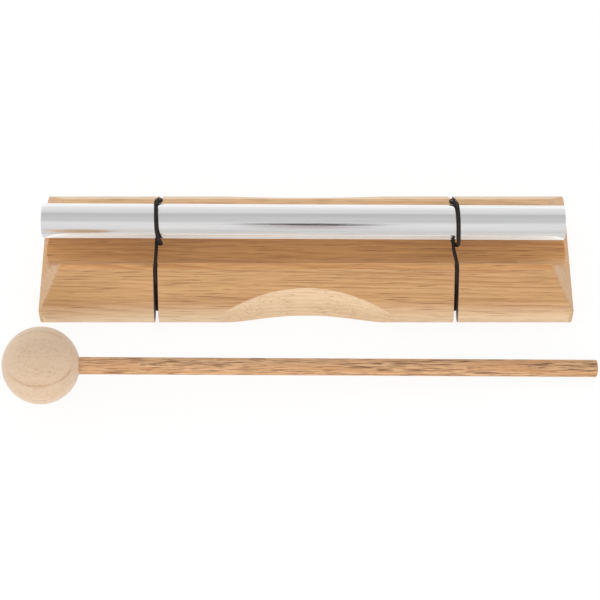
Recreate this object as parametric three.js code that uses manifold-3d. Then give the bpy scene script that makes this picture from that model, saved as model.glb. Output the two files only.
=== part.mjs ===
// Chime bar: a polished metal rod held over a wooden block by elastic cords, with its ball mallet.
// Millimetres, +Z up, +X along the rod, the player at -Y. Origin: middle of the block's underside.
import * as THREE from 'three';
import { mergeVertices } from 'three/addons/utils/BufferGeometryUtils.js';
import Module from 'manifold-3d';

const wasm = await Module();
wasm.setup();

// Clearances
const gap = 0.3; // between pieces that touch
const overrun = 5; // how far a cutter runs past what it cuts

// Wooden block
const blockLength = 212.4;
const blockWidth = 59;
const blockHeight = 23.5;
const landWidth = 3; // flat top beside the channel
const channelWidth = 28;
const channelDepth = 11.9;
const noseRadius = 6; // long bottom edges
const endUpright = 7.9; // height of each end below its steep bevel
const endRun = 8.8; // the bevel's length from above
const endRound = 6; // soft edge between the bevel and the upright end
const cornerRadius = 2.6; // upright corners, seen from above
const footRadius = 2.5; // bottom edge of each end
const arrisRadius = 0.8; // the small sharp edges
const scoopRadius = 97; // finger scoop, seen from above
const scoopInset = 5.9; // depth of the scoop at the table
const scoopLean = 5.5; // degrees that the scoop's wall leans back

// Saw kerfs that hold the cords
const kerfSpacing = 118.4; // between the two kerfs
const kerfFit = 0.2; // clearance each side of the cord
const kerfStart = 2.8; // from the land's outer edge to where the kerf starts, level
const kerfFoot = 7.8; // depth of the kerf at the foot of the slope
const kerfFloor = 2.8; // depth of the kerf in the underside

// Rod
const rodDiameter = 13.6;
const rodLength = 205;
const rodEdge = 0.4; // broken edge at each end
const rodShift = -1.1; // it lies a little to the left in its cords
const rodSkew = -0.32; // and is turned by this many degrees

// Elastic cord
const cordDiameter = 1.5;
const cordSides = 8;
const strandDip = 0.7; // how far the rod presses the strands under it down
const bendRadius = 1.2; // of a cord's middle line round a wooden edge
const kerfBendRadius = 2.4; // where it sinks into its kerf
const softBendRadius = 9; // where the strand dips under the rod
const bendStep = 24; // degrees between stations in a bend
const leftStrandShift = 0.1; // how far each sling draws its strand sideways under the rod
const rightStrandShift = -1;
const knotRadius = 1;
const knotCoilRadius = 0.75;
const knotCoilLean = 75; // degrees
const knotRise = 1.2; // knot above the height of the rod's axis
const knotReach = 12; // degrees round the rod from the knot's middle to the cord's ends in it
const tailLength = 2.6;

// Mallet
const ballDiameter = 30;
const stickDiameter = 6.7;
const malletLength = 231.6; // overall
const socketDepth = 19;
const socketFit = 0.05; // glue gap all round
const stickEdge = 0.5; // rounded end of the stick
const ballPlace = new THREE.Vector2(-102.2, -55.9);
const malletTurn = 1.5; // degrees

// Worked out from the sizes above
const halfWidth = blockWidth / 2;
const halfLength = blockLength / 2;
const halfChannel = channelWidth / 2;
const landEdge = halfChannel + landWidth;
const noseCentre = halfWidth - noseRadius;
const slopeAngle = slopeOf(noseCentre - landEdge, blockHeight - noseRadius);
const channelRadius = (halfChannel ** 2 + channelDepth ** 2) / (2 * channelDepth);
const channelCentre = blockHeight - channelDepth + channelRadius;
const cordRadius = cordDiameter / 2;
const kerfWidth = cordDiameter + kerfFit * 2;
const cordSeat = cordRadius + gap; // from a surface to the middle of a cord on it
const cordPitch = cordDiameter + gap; // between two cords that cross
const rodRadius = rodDiameter / 2;
const strandHeight = blockHeight + cordSeat - strandDip;
const rodHeight = strandHeight + cordSeat + rodRadius;
const slingRadius = rodRadius + cordSeat;
const kerfStartSpot = new THREE.Vector2(landEdge + kerfStart, blockHeight - kerfStart * Math.tan(slopeAngle));
const kerfFootSpot = new THREE.Vector2(halfWidth - kerfFoot, kerfFloor);

const wood = material(0xcb9e70, 0.55, 0);
const paleWood = material(0xdcc4a6, 0.6, 0);
const stickWood = material(0xcd9b6e, 0.6, 0);
const metal = material(0xd4d5d8, 0.14, 1);
const elastic = material(0x231e1c, 0.85, 0);

function material(color, roughness, metalness) {
  return new THREE.MeshStandardMaterial({ color, roughness, metalness });
}

// Angle below level of the line that starts at a corner and is tangent to the nose's arc
function slopeOf(run, drop) {
  return Math.atan2(drop, run) - Math.asin(noseRadius / Math.hypot(run, drop));
}

// Booleans
function toSolid(geometry) {
  const bare = geometry.index ? geometry.toNonIndexed() : geometry.clone();
  bare.deleteAttribute('normal');
  bare.deleteAttribute('uv');
  const merged = mergeVertices(bare);
  return new wasm.Manifold(new wasm.Mesh({
    numProp: 3,
    vertProperties: new Float32Array(merged.attributes.position.array),
    triVerts: new Uint32Array(merged.index.array),
  }));
}

function toGeometry(solid) {
  const mesh = solid.getMesh();
  const geometry = new THREE.BufferGeometry();
  geometry.setAttribute('position', new THREE.BufferAttribute(mesh.vertProperties, 3));
  geometry.setIndex(new THREE.BufferAttribute(mesh.triVerts, 1));
  geometry.computeVertexNormals();
  return geometry;
}

// A closed outline through corners, each rounded by its own radius: [across, up, radius]
function roundedOutline(corners) {
  const shape = new THREE.Shape();
  corners.forEach(([x, y, radius], i) => {
    const corner = new THREE.Vector2(x, y);
    const [before, after] = [corners.at(i - 1), corners[(i + 1) % corners.length]]
      .map(([nx, ny]) => new THREE.Vector2(nx, ny).sub(corner).normalize());
    const reach = radius / Math.tan(before.angleTo(after) / 2);
    const start = corner.clone().addScaledVector(before, reach);
    const end = corner.clone().addScaledVector(after, reach);
    if (i === 0) shape.moveTo(start.x, start.y);
    else shape.lineTo(start.x, start.y);
    shape.quadraticCurveTo(corner.x, corner.y, end.x, end.y);
  });
  shape.closePath();
  return shape;
}

// Extrudes a shape both ways along its normal and lays its axes along two of the part's
function slab(shape, depth, acrossAxis, upAxis, curveSegments = 8) {
  const geometry = new THREE.ExtrudeGeometry(shape, { depth, bevelEnabled: false, curveSegments });
  geometry.translate(0, 0, -depth / 2);
  const normal = acrossAxis.clone().cross(upAxis);
  geometry.applyMatrix4(new THREE.Matrix4().makeBasis(acrossAxis, upAxis, normal));
  return geometry;
}

const alongX = new THREE.Vector3(1, 0, 0);
const alongY = new THREE.Vector3(0, 1, 0);
const alongZ = new THREE.Vector3(0, 0, 1);

// Block: cross-section, side view and plan are each cut right through the same piece of wood
function blockSection() {
  const cut = arrisRadius;
  const along = new THREE.Vector2(Math.cos(slopeAngle), Math.sin(slopeAngle)).multiplyScalar(cut);
  const channelHalfSweep = Math.asin(halfChannel / channelRadius);
  const shape = new THREE.Shape();
  shape.moveTo(-noseCentre, 0);
  shape.lineTo(noseCentre, 0);
  shape.absarc(noseCentre, noseRadius, noseRadius, -Math.PI / 2, Math.PI / 2 - slopeAngle, false);
  shape.lineTo(landEdge + along.x, blockHeight - along.y);
  shape.quadraticCurveTo(landEdge, blockHeight, landEdge - cut, blockHeight);
  shape.lineTo(halfChannel, blockHeight);
  shape.absarc(0, channelCentre, channelRadius, -Math.PI / 2 + channelHalfSweep,
    -Math.PI / 2 - channelHalfSweep, true);
  shape.lineTo(-landEdge + cut, blockHeight);
  shape.quadraticCurveTo(-landEdge, blockHeight, -landEdge - along.x, blockHeight - along.y);
  shape.absarc(-noseCentre, noseRadius, noseRadius, Math.PI / 2 + slopeAngle, Math.PI * 3 / 2, false);
  return shape;
}

function blockSide() {
  const topEnd = halfLength - endRun;
  return roundedOutline([
    [-halfLength, 0, footRadius], [halfLength, 0, footRadius],
    [halfLength, endUpright, endRound], [topEnd, blockHeight, arrisRadius],
    [-topEnd, blockHeight, arrisRadius], [-halfLength, endUpright, endRound],
  ]);
}

function blockPlan() {
  return roundedOutline([
    [-halfLength, -halfWidth, cornerRadius], [halfLength, -halfWidth, cornerRadius],
    [halfLength, halfWidth, cornerRadius], [-halfLength, halfWidth, cornerRadius],
  ]);
}

// A large upright roller that leans over the block: side is -1 in front and 1 behind
function scoopCutter(side) {
  const height = blockHeight * 2 + overrun * 2;
  const roller = new THREE.CylinderGeometry(scoopRadius, scoopRadius, height, 180);
  roller.rotateX(Math.PI / 2);
  roller.translate(0, side * scoopRadius, 0);
  roller.rotateX(side * THREE.MathUtils.degToRad(scoopLean));
  roller.translate(0, side * (halfWidth - scoopInset), 0);
  return toSolid(roller);
}

// The saw's path: all that lies outside the kerf's floor, front, back and underside
function kerfCutter(x) {
  const low = -overrun;
  const wide = halfWidth + overrun;
  const run = kerfStartSpot.clone().sub(kerfFootSpot);
  const top = kerfStartSpot.y + arrisRadius;
  const topInset = kerfStartSpot.x + run.x / run.y * arrisRadius;
  const shape = new THREE.Shape();
  shape.moveTo(-wide, low);
  shape.lineTo(wide, low);
  shape.lineTo(wide, top);
  shape.lineTo(topInset, top);
  shape.lineTo(kerfFootSpot.x, kerfFootSpot.y);
  shape.lineTo(-kerfFootSpot.x, kerfFootSpot.y);
  shape.lineTo(-topInset, top);
  shape.lineTo(-wide, top);
  shape.closePath();
  return toSolid(slab(shape, kerfWidth, alongY, alongZ).translate(x, 0, 0));
}

function blockGeometry() {
  const section = slab(blockSection(), blockLength + overrun, alongY, alongZ, 16);
  const side = slab(blockSide(), blockWidth + overrun, alongX, alongZ);
  const plan = slab(blockPlan(), blockHeight * 2 + overrun, alongX, alongY);
  let solid = toSolid(section).intersect(toSolid(side)).intersect(toSolid(plan));
  for (const face of [-1, 1]) {
    solid = solid.subtract(scoopCutter(face)).subtract(kerfCutter(face * kerfSpacing / 2));
  }
  return toGeometry(solid);
}

// A turned piece about Z: [radius, height] from one end on the axis to the other
function turned(profile, segments) {
  const points = profile.map(([radius, height]) => new THREE.Vector2(radius, height));
  return new THREE.LatheGeometry(points, segments).rotateX(Math.PI / 2);
}

function rodGeometry() {
  const end = rodLength / 2;
  const profile = [
    [0, -end], [rodRadius - rodEdge, -end], [rodRadius, -end + rodEdge],
    [rodRadius, end - rodEdge], [rodRadius - rodEdge, end], [0, end],
  ];
  return turned(profile, 72).rotateY(Math.PI / 2);
}

// A curve whose equal steps land on its own points, so bends keep their stations
class StationCurve extends THREE.CatmullRomCurve3 {
  getUtoTmapping(share) {
    return share;
  }
}

function cordTube(points, CurveType = StationCurve, steps = points.length - 1) {
  const section = new THREE.Shape();
  for (let i = 0; i < cordSides; i += 1) {
    const turn = (i + 0.5) / cordSides * Math.PI * 2;
    const spot = [cordRadius * Math.cos(turn), cordRadius * Math.sin(turn)];
    if (i === 0) section.moveTo(...spot);
    else section.lineTo(...spot);
  }
  section.closePath();
  const extrudePath = new CurveType(points, false, 'centripetal');
  return new THREE.ExtrudeGeometry(section, { steps, extrudePath, bevelEnabled: false });
}

// Stations along straight runs with a bend at each corner: corners are [y, z, radius]
function bentRoute(corners) {
  const spots = corners.map(([y, z]) => new THREE.Vector2(y, z));
  const stations = [spots[0]];
  for (let i = 1; i < spots.length - 1; i += 1) {
    const into = spots[i].clone().sub(spots[i - 1]).normalize();
    const out = spots[i + 1].clone().sub(spots[i]).normalize();
    const turn = Math.atan2(into.cross(out), into.dot(out));
    const radius = corners[i][2];
    const reach = radius * Math.tan(Math.abs(turn) / 2);
    const start = spots[i].clone().addScaledVector(into, -reach);
    const inward = new THREE.Vector2(-into.y, into.x).multiplyScalar(Math.sign(turn));
    const centre = start.clone().addScaledVector(inward, radius);
    const count = Math.max(2, Math.ceil(Math.abs(turn) / THREE.MathUtils.degToRad(bendStep)));
    for (let k = 0; k <= count; k += 1) {
      stations.push(start.clone().rotateAround(centre, turn * k / count));
    }
  }
  stations.push(spots.at(-1));
  return stations;
}

// Middle line of a base cord from its join under the block round to the join again
function baseCordRoute() {
  const kerfRun = kerfStartSpot.clone().sub(kerfFootSpot);
  const kerfOut = new THREE.Vector2(kerfRun.y, -kerfRun.x).normalize().multiplyScalar(cordSeat);
  const underside = kerfFloor - cordSeat;
  const footShare = (underside - kerfFootSpot.y - kerfOut.y) / kerfRun.y;
  const foot = kerfFootSpot.x + kerfOut.x + kerfRun.x * footShare;
  const slopeOut = new THREE.Vector2(Math.sin(slopeAngle), Math.cos(slopeAngle)).multiplyScalar(cordSeat);
  const kerfMouth = kerfOut.clone().add(slopeOut).divideScalar(2).add(kerfStartSpot);
  const ridgeTop = blockHeight + cordSeat;
  const ridgeOut = landEdge + cordSeat * Math.tan(slopeAngle / 2);
  const half = [
    [foot, underside, bendRadius], [kerfMouth.x, kerfMouth.y, kerfBendRadius],
    [ridgeOut, ridgeTop, bendRadius], [halfChannel, ridgeTop, softBendRadius],
    [slingRadius, strandHeight, softBendRadius],
  ];
  return bentRoute([
    [-gap, underside],
    ...half.map(([y, z, radius]) => [-y, z, radius]),
    ...half.map(([y, z, radius]) => [y, z, radius]).reverse(),
    [gap, underside],
  ]);
}

// The strand under the rod is drawn sideways by the cord that hooks round it
function strandX(kerfX, shift, y, z) {
  const share = THREE.MathUtils.clamp((landEdge - Math.abs(y)) / (landEdge - slingRadius), 0, 1);
  return kerfX + (z > kerfFloor ? shift * share : 0);
}

function baseCordGeometry(kerfX, shift) {
  const place = ({ x: y, y: z }) => new THREE.Vector3(strandX(kerfX, shift, y, z), y, z);
  return cordTube(baseCordRoute().map(place));
}

// Where the rod's axis passes over a place along the block
function rodAxisY(x) {
  return (x - rodShift) * Math.tan(THREE.MathUtils.degToRad(rodSkew));
}

// A sling's places across its strand are in cord pitches. Over the rod, each is given with its
// angle in degrees round the rod, from level behind it
const leftSlingShares = {
  knot: 0.8, over: [[50, 0.3], [80, 0.5], [110, 0.5], [140, 0.55], [165, 0.6], [188, 0.8]],
};
const rightSlingShares = {
  knot: -0.3, over: [[50, 0.1], [80, 0.25], [110, 0.4], [140, 0.6], [165, 0.75], [188, 0.9]],
};

// Its hook, down beside the strand in front, under it and up again: [across, along, up] in pitches
const hookShares = [
  [1, -3.45, 1.4], [1, -3.25, 0.5], [0.85, -2.8, -0.4], [0.15, -1.9, -1.05], [-0.75, -0.8, -0.75],
  [-1, 0.4, -0.3], [-1, 1.4, -0.3],
];

// Middle line of a sling from its knot over the rod, down in front, under the strand and back up
function slingRoute(strandPlace, shares) {
  const knotAngle = THREE.MathUtils.radToDeg(Math.asin(knotRise / slingRadius));
  const onRod = ([degrees, across]) => {
    const angle = THREE.MathUtils.degToRad(degrees);
    const x = strandPlace + across * cordPitch;
    const y = rodAxisY(x) + slingRadius * Math.cos(angle);
    return new THREE.Vector3(x, y, rodHeight + slingRadius * Math.sin(angle));
  };
  const strand = new THREE.Vector3(strandPlace, rodAxisY(strandPlace), strandHeight);
  const byStrand = (spot) => new THREE.Vector3(...spot).multiplyScalar(cordPitch).add(strand);
  const rise = [[-62, -1], [-40, -0.8], [-18, (shares.knot - 1) / 2]];
  const start = [knotAngle + knotReach, shares.knot];
  const end = [knotAngle - knotReach, shares.knot];
  return [...[start, ...shares.over].map(onRod), ...hookShares.map(byStrand), ...[...rise, end].map(onRod)];
}

// Knot behind the rod: a lump with one coil round it and two cut tails
const knotShares = [0.9, 0.8, 1];
const coilThicknessShare = 0.8;
const upTailShares = [0.1, 0.3, 0.3]; // tails: [across, outward, up] of their length
const downTailShares = [-0.2, 0.6, -0.75];

function knotSolid(knotPlace) {
  const y = rodAxisY(knotPlace) + slingRadius;
  const z = rodHeight + knotRise;
  const place = (geometry) => toSolid(geometry.translate(knotPlace, y, z));
  const core = place(new THREE.SphereGeometry(knotRadius, 16, 12).scale(...knotShares));
  const coil = place(new THREE.TorusGeometry(knotCoilRadius, cordRadius * coilThicknessShare, 8, 20)
    .rotateX(THREE.MathUtils.degToRad(knotCoilLean)));
  const tail = ([across, outward, up]) => {
    const points = [[0, 0, 0], [across / 3, outward / 4, up / 3], [across, outward, up]];
    const route = points.map((spot) => new THREE.Vector3(...spot).multiplyScalar(tailLength));
    return place(cordTube(route, THREE.CatmullRomCurve3, 6));
  };
  return core.add(coil).add(tail(upTailShares)).add(tail(downTailShares));
}

function barCordGeometry(strandPlace, shares) {
  const sling = toSolid(cordTube(slingRoute(strandPlace, shares), THREE.CatmullRomCurve3, 64));
  return toGeometry(sling.add(knotSolid(strandPlace + shares.knot * cordPitch)));
}

// Mallet, along its own axis: ball centre at zero, stick towards +Z
const ballRadius = ballDiameter / 2;
const stickRadius = stickDiameter / 2;
const stickReach = malletLength - ballRadius; // from the ball's centre to the tip
const socketRadius = stickRadius + socketFit;
const stickEndShares = [0.8, 0.35]; // of its radius and its rounded end

function ballGeometry() {
  const mouth = Math.asin(socketRadius / ballRadius);
  const steps = 28;
  const profile = [];
  for (let i = 0; i <= steps; i += 1) {
    const angle = Math.PI - (Math.PI - mouth) * i / steps;
    profile.push([i === 0 ? 0 : ballRadius * Math.sin(angle), ballRadius * Math.cos(angle)]);
  }
  const socketEnd = ballRadius - socketDepth;
  return turned([...profile, [socketRadius, socketEnd], [0, socketEnd]], 56);
}

function stickGeometry() {
  const start = ballRadius - socketDepth + gap;
  return turned([
    [0, start], [stickRadius - stickEdge, start], [stickRadius, start + stickEdge],
    [stickRadius, stickReach - stickEdge],
    [stickRadius * stickEndShares[0], stickReach - stickEdge * stickEndShares[1]], [0, stickReach],
  ], 32);
}

function mesh(name, geometry, surface) {
  const piece = new THREE.Mesh(geometry, surface);
  piece.name = name;
  return piece;
}

const chimeBar = new THREE.Group();
chimeBar.add(mesh('base_block', blockGeometry(), wood));

const rod = mesh('chime_bar', rodGeometry(), metal);
rod.position.set(rodShift, 0, rodHeight);
rod.rotation.z = THREE.MathUtils.degToRad(rodSkew);
chimeBar.add(rod);

const leftKerf = -kerfSpacing / 2;
const rightKerf = kerfSpacing / 2;
chimeBar.add(mesh('left_base_cord', baseCordGeometry(leftKerf, leftStrandShift), elastic));
chimeBar.add(mesh('right_base_cord', baseCordGeometry(rightKerf, rightStrandShift), elastic));
const leftStrand = leftKerf + leftStrandShift;
const rightStrand = rightKerf + rightStrandShift;
chimeBar.add(mesh('left_bar_cord', barCordGeometry(leftStrand, leftSlingShares), elastic));
chimeBar.add(mesh('right_bar_cord', barCordGeometry(rightStrand, rightSlingShares), elastic));

// The mallet lies on its ball and on the stick's tip
const mallet = new THREE.Group();
const malletDip = Math.asin((ballRadius - stickRadius) / stickReach);
mallet.position.set(ballPlace.x, ballPlace.y, ballRadius);
mallet.rotation.order = 'ZYX';
mallet.rotation.z = THREE.MathUtils.degToRad(malletTurn);
mallet.rotation.y = Math.PI / 2 + malletDip;
mallet.add(mesh('mallet_head', ballGeometry(), paleWood));
mallet.add(mesh('mallet_stick', stickGeometry(), stickWood));
chimeBar.add(mallet);

export default chimeBar;
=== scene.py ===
import math

import bpy
from mathutils import Matrix, Vector


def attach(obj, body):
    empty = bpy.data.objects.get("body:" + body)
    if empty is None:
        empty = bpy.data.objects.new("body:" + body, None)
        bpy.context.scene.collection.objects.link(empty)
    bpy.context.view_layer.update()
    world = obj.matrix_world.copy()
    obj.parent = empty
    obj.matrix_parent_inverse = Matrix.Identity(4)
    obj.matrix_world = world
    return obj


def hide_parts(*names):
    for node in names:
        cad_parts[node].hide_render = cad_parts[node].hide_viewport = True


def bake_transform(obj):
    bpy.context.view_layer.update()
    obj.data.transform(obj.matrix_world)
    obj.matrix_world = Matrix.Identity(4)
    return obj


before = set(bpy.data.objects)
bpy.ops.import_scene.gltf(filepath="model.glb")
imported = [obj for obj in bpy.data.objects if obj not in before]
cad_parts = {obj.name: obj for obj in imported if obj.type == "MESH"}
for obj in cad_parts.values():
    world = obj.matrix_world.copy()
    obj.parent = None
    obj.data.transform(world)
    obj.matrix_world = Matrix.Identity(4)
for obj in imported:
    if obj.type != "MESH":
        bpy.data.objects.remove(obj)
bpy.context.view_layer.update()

mm = 0.001
white = (1, 1, 1, 1)
print("frame loaded:", len(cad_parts), "solids")


# A share kept between 0 and 1
def clamp(share):
    return min(max(share, 0), 1)


# sRGB values of 0 to 255 as the colour that a socket takes
def paint(red, green, blue):
    shares = [value / 255 for value in (red, green, blue)]
    return tuple(s / 12.92 if s <= 0.04045 else ((s + 0.055) / 1.055) ** 2.4 for s in shares) + (1,)


def setMode(mode):
    bpy.ops.object.mode_set(mode=mode)


# Only this object selected, and active
def pick(thing):
    if bpy.context.object and bpy.context.object.mode != "OBJECT":
        setMode("OBJECT")
    bpy.ops.object.select_all(action="DESELECT")
    thing.select_set(True)
    bpy.context.view_layer.objects.active = thing


def applyModifier(piece, kind, **values):
    pick(piece)
    modifier = piece.modifiers.new(kind.title(), kind)
    for name, value in values.items():
        setattr(modifier, name, value)
    bpy.ops.object.modifier_apply(modifier=modifier.name)


# The place goes into the mesh, as on the CAD nodes
def applyPlace(piece):
    pick(piece)
    bpy.ops.object.transform_apply(location=True, rotation=True, scale=True)


def smoothShade(piece, angle):
    pick(piece)
    bpy.ops.object.shade_smooth_by_angle(angle=angle)


def newPiece(name, points, faces):
    mesh = bpy.data.meshes.new(name)
    mesh.from_pydata(points, [], faces)
    piece = bpy.data.objects.new(name, mesh)
    bpy.context.collection.objects.link(piece)
    return piece


def addCylinder(name, sides, radius, length, place, turn=(0, 0, 0)):
    bpy.ops.mesh.primitive_cylinder_add(
        vertices=sides, radius=radius, depth=length, end_fill_type="NGON", location=place, rotation=turn)
    piece = bpy.context.object
    piece.name = name
    return piece


# Edit mode with the whole mesh selected
def editAll(piece):
    pick(piece)
    setMode("EDIT")
    bpy.ops.mesh.select_all(action="SELECT")


# Vertices, edges or faces that pass a test, selected in edit mode
def selectWhere(piece, kind, test):
    setMode("EDIT")
    bpy.ops.mesh.select_mode(type=kind)
    bpy.ops.mesh.select_all(action="DESELECT")
    setMode("OBJECT")
    parts = {"VERT": piece.data.vertices, "EDGE": piece.data.edges, "FACE": piece.data.polygons}[kind]
    for part in parts:
        part.select = test(part)
    setMode("EDIT")


# Normals of the whole mesh outwards; ends in object mode
def faceOutwards():
    bpy.ops.mesh.select_all(action="SELECT")
    bpy.ops.mesh.normals_make_consistent(inside=False)
    setMode("OBJECT")


# Nodes: a value or another node's output goes into a socket
def feed(tree, value, socket):
    if isinstance(value, bpy.types.NodeSocket):
        tree.links.new(value, socket)
    else:
        socket.default_value = value


def fill(tree, node, values):
    for name, value in values.items():
        feed(tree, value, node.inputs[name])


def addNode(tree, kind, values=None, **settings):
    made = tree.nodes.new(kind)
    for name, value in settings.items():
        setattr(made, name, value)
    fill(tree, made, values or {})
    return made


def calc(tree, operation, *values):
    return addNode(tree, "ShaderNodeMath", dict(enumerate(values)), operation=operation).outputs[0]


def vectorCalc(tree, operation, *values):
    return addNode(tree, "ShaderNodeVectorMath", dict(enumerate(values)), operation=operation).outputs[0]


# Several values joined by one operation
def chain(tree, operation, first, *others):
    for other in others:
        first = calc(tree, operation, first, other)
    return first


def plus(tree, *values):
    return chain(tree, "ADD", *values)


def times(tree, *values):
    return chain(tree, "MULTIPLY", *values)


def most(tree, *values):
    return chain(tree, "MAXIMUM", *values)


def minus(tree, first, second):
    return calc(tree, "SUBTRACT", first, second)


# How far a value lies from a start, as a share of a reach
def shareOf(tree, value, start, reach):
    return calc(tree, "DIVIDE", minus(tree, value, start), reach)


# What a share leaves of 1
def invert(tree, share):
    return minus(tree, 1, share)


def absolute(tree, value):
    return calc(tree, "ABSOLUTE", value)


def square(tree, value):
    return calc(tree, "POWER", value, 2)


# How far out two sides at right angles reach
def distance(tree, first, second):
    return calc(tree, "SQRT", plus(tree, square(tree, first), square(tree, second)))


# The X, Y and Z of a vector
def axesOf(tree, vector):
    return addNode(tree, "ShaderNodeSeparateXYZ", {0: vector}).outputs


# How much the surface is turned to X, Y and Z
def facingOf(tree):
    return axesOf(tree, addNode(tree, "ShaderNodeNewGeometry").outputs["Normal"])


def lightPath(tree):
    return addNode(tree, "ShaderNodeLightPath").outputs


# A value between two limits as 0 to 1, eased at both ends
def ease(tree, value, low, high):
    values = {"Value": value, "From Min": low, "From Max": high}
    return addNode(tree, "ShaderNodeMapRange", values, interpolation_type="SMOOTHSTEP").outputs["Result"]


# Noise along a place, with its size per mm in three directions
def noise(tree, place, perMm, detail=2, roughness=0.5, output="Fac"):
    stretched = vectorCalc(tree, "MULTIPLY", place, perMm)
    values = {"Vector": stretched, "Scale": 1, "Detail": detail, "Roughness": roughness}
    return addNode(tree, "ShaderNodeTexNoise", values).outputs[output]


def blendColour(tree, share, first, second, way="MIX"):
    values = {0: share, 6: first, 7: second}
    return addNode(tree, "ShaderNodeMix", values, data_type="RGBA", blend_type=way).outputs[2]


# An empty material: its tree and its Principled shader
def newMaterial(name):
    material = bpy.data.materials.new(name)
    material.use_nodes = True
    tree = material.node_tree
    return material, tree, tree.nodes["Principled BSDF"]


def objectPlace(tree):
    return addNode(tree, "ShaderNodeTexCoord").outputs["Object"]


def inMm(tree, place):
    return vectorCalc(tree, "MULTIPLY", place, (1 / mm, 1 / mm, 1 / mm))


# A new piece gets its material and the body that it rides on, and the nodes it stands for are hidden
def wear(piece, material, body, slotName, *nodes):
    piece.data.materials.clear()
    piece.data.materials.append(material)
    if body:
        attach(piece, body)
    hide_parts(*nodes)


# Camera, as fitted to the photograph
viewpoint = {
    "place": (-2.394 * mm, -453.18 * mm, 672.99 * mm), "tilt": math.radians(33), "lens": 119.706,
    "nearest": 0.01,
}

bpy.ops.object.camera_add(location=viewpoint["place"], rotation=(viewpoint["tilt"], 0, 0))
camera = bpy.context.object
camera.data.lens = viewpoint["lens"]
camera.data.clip_start = viewpoint["nearest"]
bpy.context.scene.camera = camera

# Studio: an even white tent. What mirrors in the metal comes from its panels, by height in degrees
# over the table, 0 in front, 90 overhead and 180 behind: [height, brightness, warmth]
studio = {
    "tentTone": (0.8, 0.8, 0.8, 1),
    "panels": [
        [-90, 0.66, 0.01], [-10, 0.7, 0.01], [1, 0.735, 0.012], [8, 0.76, 0.012], [16, 0.815, 0.01],
        [23, 0.8, 0.01], [29, 0.79, 0.01], [36, 0.815, 0.006], [43, 0.785, 0.003], [50, 0.696, 0],
        [56, 0.629, 0], [63, 0.618, 0], [69, 0.626, 0], [76, 0.616, 0], [83, 0.6, -0.003], [90, 0.58, -0.004],
        [97, 0.556, -0.004], [104, 0.545, -0.004], [110, 0.64, 0], [117, 0.735, 0], [127, 0.758, 0],
        [135, 0.775, 0], [144, 0.824, 0], [154, 0.85, 0], [165, 0.912, 0.003], [178, 1.06, 0.01],
        [182, 1.12, 0.015],
    ],
    # The dark lens over the table, and what stands round it: its half width, foot and top, which fade out
    "lensHeight": 36.5, "lensSpread": 9, "lensSide": 0.004, "lensWidth": 0.086, "lensEdge": (0.42, 1),
    "lensTone": (0.02, 0.02, 0.02, 1),
    "roundSide": (0.02, 0.085), "roundFoot": (-8, 22), "roundTop": (36, 45),
    "roundTone": (0.62, 0.54, 0.55, 1),
    # The table: its tone in mirrors from front to back, and how it is shaded and gives back light
    "floorSize": 8, "floorDrop": 0.00005, "floorRough": 0.9, "floorTone": (0.93, 0.93, 0.93, 1),
    "floorBands": [[-0.29, 0.65], [-0.125, 0.56], [-0.078, 0.67], [-0.058, 0.72], [-0.044, 0.58],
                   [-0.033, 0.74], [0.06, 1]],
    "floorWarmth": 0.01, "floorShadow": 0.16, "floorGlow": 1.045, "floorBounce": 1.5, "bounceShare": 0.35,
    # Name, place, size and power
    "lamps": [
        ["frontSoftbox", (0.05, -1.1, 0.22), (1.8, 0.5), 4.1],
        ["backSoftbox", (-0.05, 1.2, 0.3), (1.8, 0.5), 3.8],
        ["leftSoftbox", (-1.2, 0, 0.4), (1.2, 0.5), 1.2],
    ],
}


# Bands of brightness along a value: [value, brightness, warmth]
def addRamp(tree, value, bands):
    low, high = bands[0][0], bands[-1][0]
    ramp = addNode(tree, "ShaderNodeValToRGB", {"Fac": shareOf(tree, value, low, high - low)})
    stops = ramp.color_ramp.elements
    while len(stops) < len(bands):
        stops.new(0.5)
    for stop, (spot, brightness, warmth) in zip(stops, bands):
        stop.position = (spot - low) / (high - low)
        stop.color = (brightness * (1 + warmth), brightness, brightness * (1 - warmth), 1)
    return ramp.outputs["Color"]


def makeSurroundings():
    world = bpy.data.worlds.new("tent")
    bpy.context.scene.world = world
    world.use_nodes = True
    tree = world.node_tree
    tree.nodes.clear()
    toward = axesOf(tree, addNode(tree, "ShaderNodeTexCoord").outputs["Generated"])
    height = calc(tree, "DEGREES", calc(tree, "ARCTAN2", toward["Z"], times(tree, toward["Y"], -1)))
    banded = addRamp(tree, height, studio["panels"])

    # The rod mirrors the lens and what stands round it as a thin line
    beside = invert(tree, ease(tree, absolute(tree, toward["X"]), *studio["roundSide"]))
    overFoot = ease(tree, height, *studio["roundFoot"])
    underTop = invert(tree, ease(tree, height, *studio["roundTop"]))
    around = times(tree, beside, times(tree, overFoot, underTop))
    around = blendColour(tree, around, white, studio["roundTone"])
    panels = blendColour(tree, 1, banded, around, "MULTIPLY")
    offHeight = shareOf(tree, height, studio["lensHeight"], studio["lensSpread"])
    offSide = shareOf(tree, toward["X"], studio["lensSide"], studio["lensWidth"])
    away = plus(tree, square(tree, offHeight), square(tree, offSide))
    lens = invert(tree, ease(tree, away, *studio["lensEdge"]))
    mirrored = blendColour(tree, lens, panels, studio["lensTone"])

    rays = lightPath(tree)
    tent = blendColour(tree, rays["Is Glossy Ray"], studio["tentTone"], mirrored)
    seen = most(tree, rays["Is Camera Ray"], rays["Is Transmission Ray"])
    colour = blendColour(tree, seen, tent, white)
    background = addNode(tree, "ShaderNodeBackground", {"Color": colour, "Strength": 1})
    addNode(tree, "ShaderNodeOutputWorld", {"Surface": background.outputs[0]})


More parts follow.
